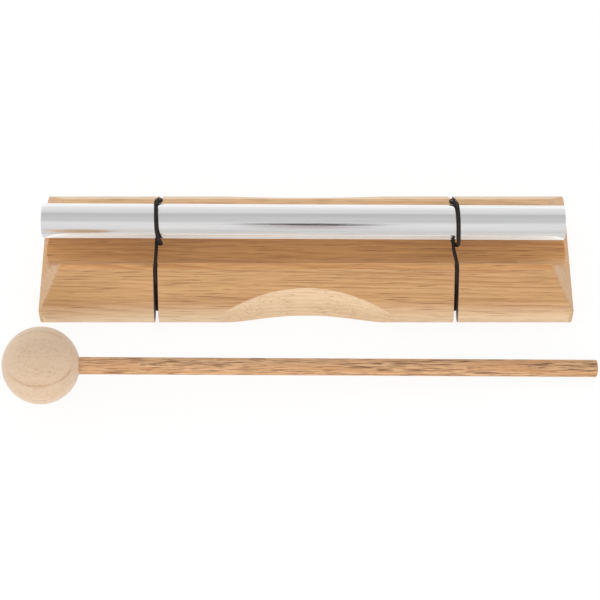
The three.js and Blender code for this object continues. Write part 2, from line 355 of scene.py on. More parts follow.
def makeFloor():
    bpy.ops.mesh.primitive_plane_add(size=studio["floorSize"], location=(0, 0, -studio["floorDrop"]))
    floor = bpy.context.object
    floor.name = "tableTop"
    material, tree, shader = newMaterial("tableTop")
    fill(tree, shader, {
        "Base Color": studio["floorTone"], "Roughness": studio["floorRough"], "Specular IOR Level": 0,
    })
    # In mirrors the table is duller in front of the block than behind it
    rays = lightPath(tree)
    depth = axesOf(tree, objectPlace(tree))["Y"]
    bands = [[y, tone, studio["floorWarmth"]] for y, tone in studio["floorBands"]]
    tone = blendColour(tree, rays["Is Glossy Ray"], white, addRamp(tree, depth, bands))
    # Rays that see it get its glow, and those that light the object its bounce
    seen = most(tree, rays["Is Camera Ray"], rays["Is Transmission Ray"], rays["Is Glossy Ray"])
    glowMore = studio["floorGlow"] - studio["floorBounce"]
    strength = plus(tree, studio["floorBounce"], times(tree, seen, glowMore))
    glow = addNode(tree, "ShaderNodeEmission", {"Color": tone, "Strength": strength})
    shareMore = 1 - studio["floorShadow"] - studio["bounceShare"]
    share = plus(tree, times(tree, seen, shareMore), studio["bounceShare"])
    mixed = addNode(tree, "ShaderNodeMixShader", {0: share, 1: shader.outputs[0], 2: glow.outputs[0]})
    tree.links.new(mixed.outputs[0], tree.nodes["Material Output"].inputs["Surface"])
    floor.data.materials.append(material)


def addLamp(name, place, size, power):
    bpy.ops.object.light_add(type="AREA", location=place)
    lamp = bpy.context.object
    lamp.name = name
    lamp.data.shape = "RECTANGLE"
    lamp.data.size, lamp.data.size_y = size
    lamp.data.energy = power
    lamp.rotation_euler = Vector(place).to_track_quat("Z", "Y").to_euler()
    lamp.visible_glossy = False


makeSurroundings()
makeFloor()
for lamp in studio["lamps"]:
    addLamp(*lamp)
print("camera, light and floor made")

# Wood grain for every wooden piece. Lengths in mm, the grain along X of the coordinates given:
# growth rings about a far pith, broad tones, fine fibres and open pores drawn out as dashes
grainInputs = {
    "Vector": {"Place": (0, 0, 0), "Pith": (0, -40, -80)},
    "Float": {
        "Slant": 0.03, "Ring Spacing": 3, "Ring Start": 0.35, "Ring Depth": 0.4, "Warp": 2,
        "Tone Depth": 0.5, "Fibre Depth": 0.3, "Pore Length": 4, "Pore Share": 0.1,
    },
    "Color": {"Pale": white, "Dark": (0, 0, 0, 1), "Pore": (0, 0, 0, 1)},
}

# Its noises per mm, along and across the grain, and where what they draw starts and is full
grainShape = {
    "sway": (0.011, 0.045, 0.045), "late": (0.012, 0.16, 0.16), "tone": (0.006, 0.13, 0.13),
    "streak": (0.02, 1.1, 1.1), "fibre": (0.06, 3.4, 3.4), "poreAcross": 4,
    "lateFull": 0.93, "ringLine": (0.95, 1), "lateGaps": (0.3, 0.62), "toneEdge": (0.3, 0.7),
    "poreLimit": 0.72, "poreEdge": 0.07, "poreReach": 0.9, "lateCloses": 0.6,
    "poreDark": 0.75, "fibreHeight": 0.45, "poreHeight": 0.8,
}


def makeGrainGroup():
    group = bpy.data.node_groups.new("woodGrain", "ShaderNodeTree")
    for kind, starts in grainInputs.items():
        for name, start in starts.items():
            socket = group.interface.new_socket(name=name, in_out="INPUT", socket_type="NodeSocket" + kind)
            socket.default_value = start
    for name, kind in (("Color", "Color"), ("Height", "Float"), ("Pores", "Float")):
        group.interface.new_socket(name=name, in_out="OUTPUT", socket_type="NodeSocket" + kind)
    given = addNode(group, "NodeGroupInput").outputs
    result = addNode(group, "NodeGroupOutput")
    place = given["Place"]

    # Rings round the pith, swayed: pale early wood darkens to late wood, which ends at a line
    sway = noise(group, place, grainShape["sway"], 2, 0.45, "Color")
    sway = vectorCalc(group, "SUBTRACT", sway, (0.5, 0.5, 0.5))
    swayLength = addNode(group, "ShaderNodeVectorMath", {0: sway, "Scale": given["Warp"]}, operation="SCALE")
    shifted = vectorCalc(group, "ADD", place, swayLength.outputs[0])
    fromPith = axesOf(group, vectorCalc(group, "SUBTRACT", shifted, given["Pith"]))
    rise = plus(group, fromPith["Z"], times(group, fromPith["X"], given["Slant"]))
    ringCount = calc(group, "DIVIDE", distance(group, fromPith["Y"], rise), given["Ring Spacing"])
    ringPart = calc(group, "FRACT", ringCount)
    late = times(group, ease(group, ringPart, given["Ring Start"], grainShape["lateFull"]),
                 invert(group, ease(group, ringPart, *grainShape["ringLine"])),
                 ease(group, noise(group, place, grainShape["late"], 1), *grainShape["lateGaps"]))
    tone = ease(group, noise(group, place, grainShape["tone"], 3, 0.55), *grainShape["toneEdge"])
    streak = noise(group, place, grainShape["streak"], 3, 0.65)
    fibre = noise(group, place, grainShape["fibre"], 2, 0.6)

    # Pores are drawn out along the grain, and there are fewer of them in late wood
    poreScale = addNode(group, "ShaderNodeCombineXYZ", {
        "X": calc(group, "DIVIDE", 1, given["Pore Length"]),
        "Y": grainShape["poreAcross"], "Z": grainShape["poreAcross"],
    }).outputs[0]
    early = invert(group, times(group, late, grainShape["lateCloses"]))
    limit = times(group, given["Pore Share"], grainShape["poreReach"], early)
    limit = minus(group, grainShape["poreLimit"], limit)
    pores = ease(group, noise(group, place, poreScale, 1.5), limit, plus(group, limit, grainShape["poreEdge"]))

    lines = [times(group, minus(group, drawn, 0.5), given["Fibre Depth"]) for drawn in (streak, fibre)]
    dark = plus(group, times(group, tone, given["Tone Depth"]), times(group, late, given["Ring Depth"]), *lines)
    dark = addNode(group, "ShaderNodeClamp", {"Value": dark}).outputs[0]
    colour = blendColour(group, dark, given["Pale"], given["Dark"])
    colour = blendColour(group, times(group, pores, grainShape["poreDark"]), colour, given["Pore"])
    height = minus(group, times(group, fibre, grainShape["fibreHeight"]),
                   times(group, pores, grainShape["poreHeight"]))
    fill(group, result, {"Color": colour, "Height": height, "Pores": pores})
    return group


grainGroup = makeGrainGroup()


def addGrain(tree, place, values):
    return addNode(tree, "ShaderNodeGroup", {"Place": place, **values}, node_tree=grainGroup).outputs


def addBump(tree, height, relief):
    values = {"Height": height, "Strength": 1, "Distance": relief}
    return addNode(tree, "ShaderNodeBump", values).outputs["Normal"]


# Block, in mm up to the mesh: cross-section, side view and plan are each cut through the same wood
block = {
    "length": 212.4, "width": 59, "height": 23.5, "land": 3, "channelWidth": 28, "channelDepth": 11.9,
    "nose": 6, "endUpright": 7.9, "endRun": 8.8, "endRound": 6, "corner": 4.2, "foot": 2.4,
    "noseSteps": 20, "channelSteps": 44, "overrun": 10,
    "scoopRadius": 97, "scoopInset": 5.9, "scoopLean": math.radians(5.5), "scoopLength": 80, "scoopSides": 360,
    "kerf": 59.2, "kerfWidth": 1.7, "kerfFoot": Vector((21.7, 2.8)), "kerfBend": Vector((18.2, 19.9)),
    "kerfRim": Vector((14, 22.95)), "kerfOver": 1.5, "merge": 0.003 * mm, "flatAngle": math.radians(0.2),
    # Sanded edges, those of the ends fading out between two heights, and how near each has to lie
    "arris": 0.5, "endArris": 1.2, "kerfArris": 0.12, "endFade": (10.2, 15), "arrisSteps": 4, "endCut": 6,
    "nearTop": 0.1, "nearEnd": 0.2, "nearKerf": 0.01,
    "arrisAngle": math.radians(22), "smoothAngle": math.radians(24),
    "grain": {
        "Pith": (0, -64, -58), "Slant": 0.035, "Ring Spacing": 2.1, "Ring Depth": 0.55, "Warp": 8,
        "Tone Depth": 0.4, "Fibre Depth": 1.25, "Pore Length": 14, "Pore Share": 0.14,
    },
    "faceWood": {"Pale": paint(215, 168, 115), "Dark": paint(180, 127, 77), "Pore": paint(142, 90, 49)},
    # Paler wood painted as light on steep, low and far faces
    "litPaleWood": {"Pale": paint(239, 209, 172), "Dark": paint(221, 186, 145), "Pore": paint(190, 147, 102)},
    "endWood": {"Pale": paint(217, 176, 133), "Dark": paint(199, 156, 112), "Pore": paint(181, 137, 93)},
    # Painted light on the flat lands, and painted shade in the channel, darker at its back under the rod
    "coveShadeTint": (1.08, 0.955, 0.73, 1), "shadeTint": (0.97, 0.83, 0.68, 1), "landLightTint": (1.25, 1.15, 1.02, 1),
    # Painted reflection: the wood's tone and glow in the rod's mirror
    "mirrorTone": paint(250, 248, 242), "mirrorShare": 0.95, "mirrorGlow": 0.22, "underGlow": 0.25,
    # Painted shade on the kerf's walls and how far past them it reaches, and how far inside its edge the
    # channel's tint stays
    "kerfShade": paint(74, 46, 30), "kerfShadeOver": 0.02, "coveInset": 0.1,
    # Where these colours start and are full, by place in mm and by how a face is turned
    "lowEdge": (7, 14), "farSide": (8, 16), "farShare": 0.53, "channelOut": (7, 14), "runOutShare": 0.7,
    "shade": (-1, 6), "flat": (0.75, 0.95), "steep": (0.12, 0.6), "across": (0.25, 0.8), "leaning": (0.1, 0.4),
    "under": (-0.6, 0.4),
    "rough": 0.42, "poreRough": 0.25, "endRough": 0.2, "coat": 0.2, "coatRough": 0.32, "relief": 0.05 * mm,
}
halfWidth, blockTop = block["width"] / 2, block["height"]
channelEdge = block["channelWidth"] / 2
landEdge = channelEdge + block["land"]
noseCentre = halfWidth - block["nose"]
slope = math.atan2(blockTop - block["nose"], noseCentre - landEdge) - math.asin(
    block["nose"] / math.hypot(noseCentre - landEdge, blockTop - block["nose"]))
topEnd = block["length"] / 2 - block["endRun"]


# Points of an arc, from and to in degrees
def arc(centre, radius, start, end, steps):
    turns = [math.radians(start + (end - start) * i / steps) for i in range(steps + 1)]
    return [(centre[0] + radius * math.cos(t), centre[1] + radius * math.sin(t)) for t in turns]


# An outline through corners (x, y, radius), the round ones eased over a few points
def easedOutline(corners, steps=10):
    outline = []
    for i, (x, y, radius) in enumerate(corners):
        corner = Vector((x, y))
        before, after = (Vector(corners[n % len(corners)][:2]) for n in (i - 1, i + 1))
        before, after = (before - corner).normalized(), (after - corner).normalized()
        if radius == 0:
            outline.append((x, y))
            continue
        reach = radius / math.tan(before.angle(after) / 2)
        for k in range(steps + 1):
            turn = math.pi / 2 * k / steps
            back, on = reach * (1 - math.sin(turn)), reach * (1 - math.cos(turn))
            outline.append(tuple(corner + before * back + after * on))
    return outline


# An outline drawn in two of the axes and extruded along the third, centred on a place
def makePrism(name, outline, axes, length, centre=0):
    third = 3 - axes[0] - axes[1]
    points = []
    for spot in outline:
        point = [(centre - length / 2) * mm] * 3
        point[axes[0]], point[axes[1]] = spot[0] * mm, spot[1] * mm
        points.append(point)
    piece = newPiece(name, points, [tuple(range(len(points)))])
    editAll(piece)
    shift = [length * mm if axis == third else 0 for axis in range(3)]
    bpy.ops.mesh.extrude_region_move(TRANSFORM_OT_translate={"value": shift})
    faceOutwards()
    return piece


def cutBy(piece, cutter, way):
    applyModifier(piece, "BOOLEAN", object=cutter, operation=way, solver="EXACT")
    bpy.data.objects.remove(cutter)


# Slivers merged, and faces joined again where a cut left them flat
def cleanCuts(piece):
    editAll(piece)
    bpy.ops.mesh.remove_doubles(threshold=block["merge"])
    bpy.ops.mesh.dissolve_limited(angle_limit=block["flatAngle"])
    setMode("OBJECT")


# The ridge and the channel's lips are sanded round, the ends more and the saw's edges hardly
def easeArrises(piece):
    pick(piece)
    setMode("EDIT")
    bpy.ops.mesh.select_mode(type="EDGE")
    bpy.ops.mesh.select_all(action="DESELECT")
    bpy.ops.mesh.edges_select_sharp(sharpness=block["arrisAngle"])
    setMode("OBJECT")
    mesh = piece.data
    fadeLow, fadeHigh = block["endFade"]
    kerfSide = block["kerfWidth"] / 2 + block["nearKerf"]
    widths = []
    for edge in mesh.edges:
        ends = [mesh.vertices[i].co / mm for i in edge.vertices]
        width = 0
        if all(abs(abs(end.x) - block["kerf"]) < kerfSide for end in ends):
            width = block["kerfArris"]
        elif all(abs(end.x) > topEnd - block["nearEnd"] for end in ends):
            height = (ends[0].z + ends[1].z) / 2
            width = block["endArris"] * clamp((height - fadeLow) / (fadeHigh - fadeLow))
        elif all(end.z > blockTop - block["nearTop"] for end in ends):
            width = block["arris"]
        widths.append(width if edge.select else 0)
    weights = [width / block["endArris"] for width in widths]
    mesh.attributes.new("bevel_weight_edge", "FLOAT", "EDGE").data.foreach_set("value", weights)
    applyModifier(piece, "BEVEL", width=block["endArris"] * mm, segments=block["arrisSteps"],
                  limit_method="WEIGHT", use_clamp_overlap=False)


def makeBlock():
    halfLength, overrun = block["length"] / 2, block["overrun"]
    radius = (channelEdge ** 2 + block["channelDepth"] ** 2) / (2 * block["channelDepth"])
    sweep = math.degrees(math.asin(channelEdge / radius))
    channelCentre = (0, blockTop - block["channelDepth"] + radius)
    front = arc((noseCentre, block["nose"]), block["nose"], -90, 90 - math.degrees(slope), block["noseSteps"])
    section = [*front, (landEdge, blockTop),
               *arc(channelCentre, radius, -90 + sweep, -90 - sweep, block["channelSteps"]),
               (-landEdge, blockTop), *((-y, z) for y, z in reversed(front))]
    piece = makePrism("grooveBlock", section, (1, 2), block["length"] + overrun)
    side = easedOutline([
        (-halfLength, 0, block["foot"]), (halfLength, 0, block["foot"]),
        (halfLength, block["endUpright"], block["endRound"]), (topEnd, blockTop, 0),
        (-topEnd, blockTop, 0), (-halfLength, block["endUpright"], block["endRound"]),
    ])
    cutBy(piece, makePrism("sideCut", side, (0, 2), block["width"] + overrun), "INTERSECT")
    corners = [(x * halfLength, y * halfWidth) for x, y in ((-1, -1), (1, -1), (1, 1), (-1, 1))]
    plan = easedOutline([(x, y, block["corner"]) for x, y in corners])
    cutBy(piece, makePrism("planCut", plan, (0, 1), blockTop * 2 + overrun), "INTERSECT")

    # Finger scoops: a large roller that leans over the block, front and back
    for face in (-1, 1):
        lean = face * block["scoopLean"]
        toFace = Vector((0, face * (halfWidth - block["scoopInset"]), 0))
        centre = Matrix.Rotation(lean, 3, "X") @ Vector((0, face * block["scoopRadius"], 0)) + toFace
        roller = addCylinder("scoopCut", block["scoopSides"], block["scoopRadius"] * mm,
                             block["scoopLength"] * mm, centre * mm, (lean, 0, 0))
        cutBy(piece, roller, "DIFFERENCE")

    # Saw kerfs for the cords, from the channel's edge over the land and down the slope
    bend = block["kerfBend"]
    above = block["kerfRim"] + (block["kerfRim"] - bend) * block["kerfOver"]
    outside = halfWidth + overrun / 2
    right = [(outside, -overrun / 2), (outside, above.y), *(tuple(p) for p in (above, bend, block["kerfFoot"]))]
    path = [*right, *((-y, z) for y, z in reversed(right))]
    for x in (-block["kerf"], block["kerf"]):
        cutBy(piece, makePrism("kerfCut", path, (1, 2), block["kerfWidth"], x), "DIFFERENCE")
    cleanCuts(piece)
    # Cuts across, so that the long faces end close to the sanded edges
    setMode("EDIT")
    for x in (-topEnd + block["endCut"], topEnd - block["endCut"]):
        bpy.ops.mesh.select_all(action="SELECT")
        bpy.ops.mesh.bisect(plane_co=(x * mm, 0, 0), plane_no=(1, 0, 0))
    setMode("OBJECT")
    easeArrises(piece)
    smoothShade(piece, block["smoothAngle"])
    # The large flat faces keep their own normals up to the sanded edges
    applyModifier(piece, "WEIGHTED_NORMAL", mode="FACE_AREA", weight=90, keep_sharp=True)
    return piece


def makeBlockMaterial():
    material, tree, shader = newMaterial("oiledBlock")
    place = inMm(tree, objectPlace(tree))
    # The second grain, cut, is the paler wood painted as light on steep, low and far faces
    face, cut, end = (addGrain(tree, place, {**block["grain"], **block[wood]})
                      for wood in ("faceWood", "litPaleWood", "endWood"))
    facing, spot = facingOf(tree), axesOf(tree, place)
    fromMiddle = absolute(tree, spot["Y"])

    # Painted light and shade: flat lands are tinted paler, and the channel darker and redder for the rod's
    # shade and the light bounced between its walls, darker still at its back under the rod
    inCove = times(tree, calc(tree, "LESS_THAN", fromMiddle, channelEdge - block["coveInset"]),
                   calc(tree, "GREATER_THAN", facing["Z"], 0))
    tint = blendColour(tree, ease(tree, facing["Z"], *block["flat"]), white, block["landLightTint"])
    coveShadeTint = blendColour(tree, ease(tree, spot["Y"], *block["shade"]), block["coveShadeTint"], block["shadeTint"])
    tint = blendColour(tree, inCove, tint, coveShadeTint)
    colour = blendColour(tree, 1, face["Color"], tint, "MULTIPLY")
    # Painted light: steep faces, the low edges and the far side take the paler wood, for light bounced up from
    # the table and for glare
    steep = invert(tree, ease(tree, facing["Z"], *block["steep"]))
    low = invert(tree, ease(tree, spot["Z"], *block["lowEdge"]))
    far = times(tree, ease(tree, spot["Y"], *block["farSide"]), block["farShare"])
    paler = times(tree, most(tree, steep, low, far), invert(tree, inCove))
    colour = blendColour(tree, paler, colour, cut["Color"])
    # End grain, which shows less on the bevel where the channel runs out
    across = ease(tree, absolute(tree, facing["X"]), *block["across"])
    runOut = times(tree, invert(tree, ease(tree, fromMiddle, *block["channelOut"])),
                   ease(tree, facing["Z"], *block["leaning"]))
    across = times(tree, across, invert(tree, times(tree, runOut, block["runOutShare"])))
    colour = blendColour(tree, across, colour, end["Color"])

    # Painted shade: the walls of the narrow kerfs are coloured dark brown
    fromKerf = absolute(tree, minus(tree, absolute(tree, spot["X"]), block["kerf"]))
    inKerf = times(tree, calc(tree, "LESS_THAN", fromKerf, block["kerfWidth"] / 2 + block["kerfShadeOver"]),
                   calc(tree, "GREATER_THAN", fromMiddle, block["kerfRim"].x))
    colour = blendColour(tree, inKerf, colour, block["kerfShade"])

    # Painted reflection: in the rod's mirror the wood is paler than it is and glows, the more where it faces
    # down
    mirrored = lightPath(tree)["Is Glossy Ray"]
    colour = blendColour(tree, times(tree, mirrored, block["mirrorShare"]), colour, block["mirrorTone"])
    under = invert(tree, ease(tree, facing["Z"], *block["under"]))
    glow = plus(tree, block["mirrorGlow"], times(tree, under, block["underGlow"]))
    rough = plus(tree, times(tree, face["Pores"], block["poreRough"]),
                 plus(tree, block["rough"], times(tree, across, block["endRough"])))
    fill(tree, shader, {
        "Base Color": colour, "Roughness": rough,
        "Coat Weight": block["coat"], "Coat Roughness": block["coatRough"],
        "Emission Color": block["mirrorTone"], "Emission Strength": times(tree, mirrored, glow),
        "Normal": addBump(tree, face["Height"], block["relief"]),
    })
    return material


blockPiece = makeBlock()
wear(blockPiece, makeBlockMaterial(), "base", "block_wood", "base_block")
print("block made:", len(blockPiece.data.polygons), "faces")

# Rod
rod = {
    "diameter": 13.6 * mm, "length": 205 * mm, "edge": 0.4 * mm, "edgeSteps": 4, "sides": 192,
    "height": 31.7 * mm, "shift": -1.1 * mm, "skew": math.radians(-0.32),
    "dish": 0.06 * mm, "dishSteps": 3, "dishInset": 0.11, "smoothAngle": math.radians(40),
    "bright": (0.92, 0.92, 0.925, 1), "dull": (0.86, 0.86, 0.872, 1), "toneEdge": (0.3, 0.7),
    # Its marks per mm, along and across the rod, and the turning marks round its ends
    "drawn": (0.012, 3.4, 3.4), "broad": (0.02, 0.5, 0.5), "worn": (0.09, 0.12, 0.12),
    "turning": 26, "turningHeight": 0.5, "broadHeight": 0.8, "end": (0.8, 0.95),
    "rough": 0.075, "roughMore": 0.055, "wornEdge": (0.35, 0.75), "relief": 0.018 * mm,
}


def makeRod():
    half = rod["length"] / 2
    place = (rod["shift"], 0, rod["height"])
    piece = addCylinder("polishedRod", rod["sides"], rod["diameter"] / 2, rod["length"], place)
    pick(piece)

    def onRim(edge):
        heights = [piece.data.vertices[i].co.z for i in edge.vertices]
        return heights[0] * heights[1] > 0 and abs(heights[0]) > half - mm / 10

    selectWhere(piece, "EDGE", onRim)
    bpy.ops.mesh.bevel(offset=rod["edge"], segments=rod["edgeSteps"], affect="EDGES")
    # The saw-cut ends were faced in a lathe, and dip a little in the middle
    inward, steps = rod["diameter"] * rod["dishInset"], rod["dishSteps"]
    for side in (-1, 1):
        selectWhere(piece, "FACE", lambda face: face.normal.z * side > 0.99)
        for step in range(steps):
            bpy.ops.mesh.inset(thickness=inward, depth=-rod["dish"] / steps)
    setMode("OBJECT")
    piece.rotation_euler = (0, math.pi / 2, rod["skew"])
    applyPlace(piece)
    smoothShade(piece, rod["smoothAngle"])
    return piece


def makeRodMaterial():
    material, tree, shader = newMaterial("polishedRod")
    place = inMm(tree, objectPlace(tree))
    drawn = noise(tree, place, rod["drawn"], 3, 0.65)
    broad = noise(tree, place, rod["broad"])
    worn = noise(tree, place, rod["worn"], 3, 0.6)
    tone = plus(tree, times(tree, drawn, 0.5), times(tree, broad, 0.5))
    colour = blendColour(tree, ease(tree, tone, *rod["toneEdge"]), rod["dull"], rod["bright"])
    rough = plus(tree, rod["rough"], times(tree, ease(tree, worn, *rod["wornEdge"]), rod["roughMore"]))

    # Drawing lines run along the rod, turning marks round its ends
    spot = axesOf(tree, place)
    atEnd = ease(tree, absolute(tree, facingOf(tree)["X"]), *rod["end"])
    fromAxis = distance(tree, spot["Y"], minus(tree, spot["Z"], rod["height"] / mm))
    turned = calc(tree, "SINE", times(tree, fromAxis, rod["turning"]))
    lines = plus(tree, drawn, times(tree, broad, rod["broadHeight"]))
    height = plus(tree, times(tree, lines, invert(tree, atEnd)),
                  times(tree, turned, times(tree, atEnd, rod["turningHeight"])))
    fill(tree, shader, {
        "Metallic": 1, "Base Color": colour, "Roughness": rough, "Normal": addBump(tree, height, rod["relief"]),
    })
    return material


rodPiece = makeRod()
wear(rodPiece, makeRodMaterial(), "bar", "polished_metal", "chime_bar")
print("rod made:", len(rodPiece.data.polygons), "faces")

# Cords: round braided elastic. Lengths in mm up to the mesh
cord = {
    "diameter": 1.5, "gap": 0.3, "braid": 1.58, "contact": 0.8, "pitch": 6.2, "strands": 4, "wave": 0.12,
    "strandWidth": 0.66, "strandThick": 0.28, "sides": 6, "coreSides": 10, "step": 0.21,
    # How the strands under the rod lie: below the lands, and drawn sideways by their slings
    "strandDip": 0.7, "leftShift": 0.1, "rightShift": -1,
    # Radii of a base cord's bends, from the foot up
    "footBend": 1.2, "slopeBend": 3, "rimBend": 4, "strandBend": 5, "rimShare": 0.55,
    "rubber": paint(214, 203, 188), "colour": paint(37, 31, 28), "glint": paint(72, 62, 56),
    # Threads per mm along a strand and per turn round it, and fuzz per mm
    "threads": (0.5, 11, 1), "threadEdge": (0.35, 0.75), "fuzz": (2.2, 2.2, 2.2), "fuzzEdge": (0.55, 0.8),
    "fuzzShare": 0.3, "rough": 0.8, "specular": 0.25, "relief": 0.03 * mm, "smoothAngle": math.radians(50),
}
seat = cord["diameter"] / 2 + cord["gap"]
cordPitch = cord["diameter"] + cord["gap"]
strandHeight = blockTop + seat - cord["strandDip"]
slingRadius = rod["diameter"] / mm / 2 + seat
rodAxis = rod["height"] / mm


def rodAxisY(x):
    return (x - rod["shift"] / mm) * math.tan(rod["skew"])


# Points along straight runs with a round bend at each corner: corners are (y, z, radius)
def bentRoute(corners, bendStep=6):
    spots = [Vector((y, z)) for y, z, radius in corners]
    route = [spots[0]]
    for i in range(1, len(spots) - 1):
        into = (spots[i] - spots[i - 1]).normalized()
        out = (spots[i + 1] - spots[i]).normalized()
        turn = math.atan2(into.x * out.y - into.y * out.x, into.dot(out))
        radius = corners[i][2]
        start = spots[i] - into * (radius * math.tan(abs(turn) / 2))
        centre = start + Vector((-into.y, into.x)) * (math.copysign(radius, turn))
        count = max(2, math.ceil(abs(math.degrees(turn)) / bendStep))
        for k in range(count + 1):
            route.append(centre + Matrix.Rotation(turn * k / count, 2) @ (start - centre))
    route.append(spots[-1])
    return route


# From the kerf's floor between two of its points to the middle of a cord on it
def offSide(upper, lower):
    run = lower - upper
    return Vector((-run.y, run.x)).normalized() * cord["contact"]


# One half of a base cord, from the middle of the underside up the kerf to the middle under the rod
def baseHalfRoute(kerfX, shift, side):
    rim, bend, foot = block["kerfRim"], block["kerfBend"], block["kerfFoot"]
    overLand = offSide(rim, bend)
    downSlope = offSide(bend, foot)
    underside = foot.y - cord["contact"]
    run = bend - foot
    footY = foot.x + downSlope.x + run.x * (underside - foot.y - downSlope.y) / run.y
    overRim = rim + (overLand + Vector((0, cord["contact"]))) * cord["rimShare"]
    atBend = bend + (overLand + downSlope) / (1 + overLand.normalized().dot(downSlope.normalized()))
    corners = [
        (0, underside, 0), (footY, underside, cord["footBend"]), (*atBend, cord["slopeBend"]),
        (*overRim, cord["rimBend"]), (slingRadius, strandHeight, cord["strandBend"]), (0, strandHeight, 0),
    ]
    points = []
    for y, z in bentRoute(corners):
        share = clamp((channelEdge - abs(y)) / (channelEdge - slingRadius))
        points.append(Vector((kerfX + (shift * share if z > foot.y else 0), side * y, z)))
    return points


# A smooth curve through points, centripetal
def smoothRoute(points, steps=14):
    ends = [2 * points[0] - points[1], *points, 2 * points[-1] - points[-2]]
    route = []
    for before, here, there, after in zip(ends, ends[1:], ends[2:], ends[3:]):
        first, middle, last = ((b - a).length ** 0.5
                               for a, b in ((before, here), (here, there), (there, after)))
        startPull = ((here - before) / first - (there - before) / (first + middle)
                     + (there - here) / middle) * middle
        endPull = ((there - here) / middle - (after - here) / (middle + last)
                   + (after - there) / last) * middle
        for k in range(steps):
            t = k / steps
            route.append(here + startPull * t + (3 * (there - here) - 2 * startPull - endPull) * t ** 2
                         + (2 * (here - there) + startPull + endPull) * t ** 3)
    route.append(points[-1])
    return route


# How far along a route each of its points is
def reachAlong(points):
    reach = [0]
    for a, b in zip(points, points[1:]):
        reach.append(reach[-1] + (b - a).length)
    return reach


# Where a route heads at one of its points
def heading(points, i):
    return (points[min(i + 1, len(points) - 1)] - points[max(i - 1, 0)]).normalized()


# The same route at even steps
def evenRoute(points, step):
    reach = reachAlong(points)
    count = max(2, round(reach[-1] / step))
    route, i = [], 0
    for k in range(count + 1):
        goal = reach[-1] * k / count
        while i < len(points) - 2 and reach[i + 1] < goal:
            i += 1
        share = (goal - reach[i]) / max(reach[i + 1] - reach[i], 1e-9)
        route.append(points[i].lerp(points[i + 1], clamp(share)))
    return route


# Directions along and across the route that start from X and don't twist round it
def routeFrames(route):
    frames, across = [], Vector((1, 0, 0))
    for i in range(len(route)):
        along = heading(route, i)
        across = (across - along * across.dot(along)).normalized()
        frames.append((along, across, along.cross(across)))
    return frames


# Vertices, faces, a UV per corner (mm along, share round) and a mark on cut ends, of all tubes of a cord
def newShell():
    return {"points": [], "faces": [], "places": [], "cut": []}


# A tube along centres: each ring is an ellipse in the two directions given, and the ends are closed
def addTube(shell, centres, sideways, outward, width, thick, sides, cutMark=0):
    base = len(shell["points"])
    along = reachAlong(centres)
    for i, centre in enumerate(centres):
        for k in range(sides):
            angle = 2 * math.pi * k / sides
            across, up = width / 2 * math.cos(angle), thick / 2 * math.sin(angle)
            shell["points"].append(centre + sideways[i] * across + outward[i] * up)
            shell["cut"].append(0)
    for i in range(len(centres) - 1):
        for k in range(sides):
            n = (k + 1) % sides
            a, b = base + i * sides, base + (i + 1) * sides
            shell["faces"].append((a + k, a + n, b + n, b + k))
            shell["places"].append([(along[i], k / sides), (along[i], (k + 1) / sides),
                                    (along[i + 1], (k + 1) / sides), (along[i + 1], k / sides)])
    for i, order in ((0, -1), (len(centres) - 1, 1)):
        rim = len(shell["points"])
        for k in range(sides):
            shell["points"].append(shell["points"][base + i * sides + k].copy())
            shell["cut"].append(cutMark)
        ring = [rim + k for k in range(sides)]
        shell["faces"].append(tuple(ring[::order]))
        shell["places"].append([(along[i], k / sides) for k in range(sides)])


# Eight flat strands, four each way, over and under each other round a core
def addBraid(shell, points, turnShift=0):
    route = evenRoute(points, cord["step"])
    frames = routeFrames(route)
    middle = cord["braid"] / 2 - cord["wave"] - cord["strandThick"] / 2
    core = middle - cord["wave"]
    addTube(shell, route, [side for along, side, up in frames], [up for along, side, up in frames],
            core * 2, core * 2, cord["coreSides"], cutMark=1)
    step = (route[1] - route[0]).length
    for way in (1, -1):
        for strand in range(cord["strands"]):
            centres, outward = [], []
            for i, (spot, (along, side, up)) in enumerate(zip(route, frames)):
                wound = 2 * math.pi * (i * step) / cord["pitch"]
                turn = way * (wound + turnShift) + strand * 2 * math.pi / cord["strands"]
                lift = way * cord["wave"] * math.cos(wound * cord["strands"])
                ray = side * math.cos(turn) + up * math.sin(turn)
                centres.append(spot + ray * (middle + lift))
                outward.append(ray)
            sideways = []
            for i in range(len(centres)):
                along = heading(centres, i)
                outward[i] = (outward[i] - along * outward[i].dot(along)).normalized()
                sideways.append(outward[i].cross(along))
            addTube(shell, centres, sideways, outward, cord["strandWidth"], cord["strandThick"], cord["sides"])


def shellPiece(name, shell):
    piece = newPiece(name, [point * mm for point in shell["points"]], shell["faces"])
    places = piece.data.uv_layers.new(name="alongStrand")
    for corner, spot in zip(places.data, [spot for face in shell["places"] for spot in face]):
        corner.uv = spot
    cut = piece.data.attributes.new("cutEnd", "FLOAT", "POINT")
    cut.data.foreach_set("value", shell["cut"])
    editAll(piece)
    faceOutwards()
    smoothShade(piece, cord["smoothAngle"])
    return piece


